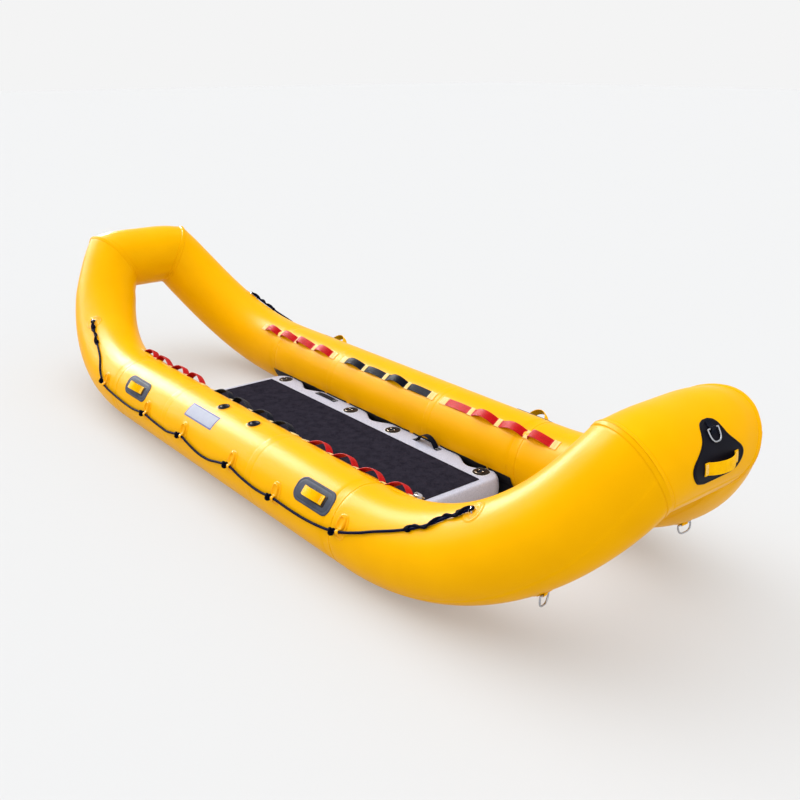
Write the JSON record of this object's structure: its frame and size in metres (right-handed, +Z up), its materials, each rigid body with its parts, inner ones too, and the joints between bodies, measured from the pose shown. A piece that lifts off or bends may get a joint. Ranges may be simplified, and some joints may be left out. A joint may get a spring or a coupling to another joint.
{
  "type": "inflatable banana boat",
  "caption": "Open towable inflatable boat with two upswept side tubes joined by cross tubes, a padded inner deck, lifelines and rows of webbing hand loops.",
  "frame": {"origin": "centre of the footprint, on the surface that the undersides of the side tubes rest on", "axes": "+X towards the bow with the towing patch, +Y to port, +Z up"},
  "size_m": [4.496, 1.4174, 0.8902],
  "materials": {
    "black_fabric": "matt coated fabric",
    "black_foam": "textured foam",
    "black_webbing": "woven webbing",
    "grey_fabric": "matt coated fabric",
    "grip_grey": "matt rubber",
    "label_white": "satin",
    "red_webbing": "woven webbing",
    "rope_black": "braided cord",
    "stainless_steel": "polished stainless steel",
    "valve_black": "satin",
    "yellow_fabric": "semi-gloss coated fabric",
    "yellow_webbing": "woven webbing"
  },
  "bodies": {
    "hull": {"cross_tube_bow": "yellow_fabric", "cross_tube_stern": "yellow_fabric", "deck_board": "grey_fabric", "deck_handle_port_bow": "black_webbing", "deck_handle_port_stern": "black_webbing", "deck_handle_starboard_bow": "black_webbing", "deck_handle_starboard_stern": "black_webbing", "deck_pad": "black_foam", "floor_sheet": "black_fabric", "grab_handle_port_bow": "grip_grey", "grab_handle_port_stern": "grip_grey", "grab_handle_starboard_bow": "grip_grey", "grab_handle_starboard_stern": "grip_grey", "label_panel": "label_white", "lifeline_eye_port_bow": "yellow_fabric", "lifeline_eye_port_stern": "yellow_fabric", "lifeline_eye_starboard_bow": "yellow_fabric", "lifeline_eye_starboard_stern": "yellow_fabric", "lifeline_patch_port_1": "yellow_fabric", "lifeline_patch_port_2": "yellow_fabric", "lifeline_patch_port_3": "yellow_fabric", "lifeline_patch_port_4": "yellow_fabric", "lifeline_patch_port_5": "yellow_fabric", "lifeline_patch_port_6": "yellow_fabric", "lifeline_patch_starboard_1": "yellow_fabric", "lifeline_patch_starboard_2": "yellow_fabric", "lifeline_patch_starboard_3": "yellow_fabric", "lifeline_patch_starboard_4": "yellow_fabric", "lifeline_patch_starboard_5": "yellow_fabric", "lifeline_patch_starboard_6": "yellow_fabric", "lifeline_port": "rope_black", "lifeline_starboard": "rope_black", "loops_port_bow": "red_webbing", "loops_port_middle": "black_webbing", "loops_port_stern": "red_webbing", "loops_starboard_bow": "red_webbing", "loops_starboard_middle": "black_webbing", "loops_starboard_stern": "red_webbing", "side_tube_port": "yellow_fabric", "side_tube_starboard": "yellow_fabric", "tow_handle": "yellow_webbing", "tow_patch": "black_fabric", "under_tab_port": "yellow_webbing", "under_tab_starboard": "yellow_webbing", "valve_body_bow": "valve_black", "valve_body_stern": "valve_black"},
    "deck_ring_1": {"deck_ring_1": "stainless_steel"},
    "deck_ring_2": {"deck_ring_2": "stainless_steel"},
    "deck_ring_3": {"deck_ring_3": "stainless_steel"},
    "deck_ring_4": {"deck_ring_4": "stainless_steel"},
    "deck_ring_5": {"deck_ring_5": "stainless_steel"},
    "deck_ring_6": {"deck_ring_6": "stainless_steel"},
    "deck_ring_7": {"deck_ring_7": "stainless_steel"},
    "deck_ring_8": {"deck_ring_8": "stainless_steel"},
    "tow_ring": {"tow_ring": "stainless_steel"},
    "under_ring_starboard": {"under_ring_starboard": "stainless_steel"},
    "under_ring_port": {"under_ring_port": "stainless_steel"},
    "inner_ring": {"inner_ring": "stainless_steel"},
    "valve_cap_stern": {"valve_cap_stern": "valve_black"},
    "valve_cap_bow": {"valve_cap_bow": "valve_black"}
  },
  "joints": [
    {"name": "deck_ring_1_hinge", "type": "hinge", "parent": "hull", "child": "deck_ring_1", "pos_m": [-0.82628, -0.28774, 0.1268], "axis": [1, 0, 0], "range_deg": [0, 150]},
    {"name": "deck_ring_2_hinge", "type": "hinge", "parent": "hull", "child": "deck_ring_2", "pos_m": [-0.16856, -0.28774, 0.1268], "axis": [1, 0, 0], "range_deg": [0, 150]},
    {"name": "deck_ring_3_hinge", "type": "hinge", "parent": "hull", "child": "deck_ring_3", "pos_m": [0.19999, -0.28774, 0.1268], "axis": [1, 0, 0], "range_deg": [0, 150]},
    {"name": "deck_ring_4_hinge", "type": "hinge", "parent": "hull", "child": "deck_ring_4", "pos_m": [0.85771, -0.28774, 0.1268], "axis": [1, 0, 0], "range_deg": [0, 150]},
    {"name": "deck_ring_5_hinge", "type": "hinge", "parent": "hull", "child": "deck_ring_5", "pos_m": [-0.82628, 0.28774, 0.1268], "axis": [-1, 0, 0], "range_deg": [0, 150]},
    {"name": "deck_ring_6_hinge", "type": "hinge", "parent": "hull", "child": "deck_ring_6", "pos_m": [-0.16856, 0.28774, 0.1268], "axis": [-1, 0, 0], "range_deg": [0, 150]},
    {"name": "deck_ring_7_hinge", "type": "hinge", "parent": "hull", "child": "deck_ring_7", "pos_m": [0.19999, 0.28774, 0.1268], "axis": [-1, 0, 0], "range_deg": [0, 150]},
    {"name": "deck_ring_8_hinge", "type": "hinge", "parent": "hull", "child": "deck_ring_8", "pos_m": [0.85771, 0.28774, 0.1268], "axis": [-1, 0, 0], "range_deg": [0, 150]},
    {"name": "tow_ring_hinge", "type": "hinge", "parent": "hull", "child": "tow_ring", "pos_m": [2.17438, 0, 0.83386], "axis": [0, -1, 0], "range_deg": [0, 150]},
    {"name": "under_ring_starboard_hinge", "type": "hinge", "parent": "hull", "child": "under_ring_starboard", "pos_m": [1.87131, -0.39541, 0.23547], "axis": [0.2468, -0.9523, 0.1797], "range_deg": [-45, 115]},
    {"name": "under_ring_port_hinge", "type": "hinge", "parent": "hull", "child": "under_ring_port", "pos_m": [1.87131, 0.39541, 0.23547], "axis": [-0.2468, -0.9523, -0.1797], "range_deg": [-45, 115]},
    {"name": "inner_ring_hinge", "type": "hinge", "parent": "hull", "child": "inner_ring", "pos_m": [1.21166, -0.39639, 0.34761], "axis": [-0.0106, -0.8296, 0.5583], "range_deg": [0, 150]},
    {"name": "valve_cap_stern_turn", "type": "hinge", "parent": "hull", "child": "valve_cap_stern", "pos_m": [-0.08255, -0.52106, 0.35956], "axis": [0, -0.0698, 0.9976], "range_deg": [0, 90]},
    {"name": "valve_cap_bow_turn", "type": "hinge", "parent": "hull", "child": "valve_cap_bow", "pos_m": [0.19795, -0.52106, 0.35956], "axis": [0, -0.0698, 0.9976], "range_deg": [0, 90]}
  ]
}
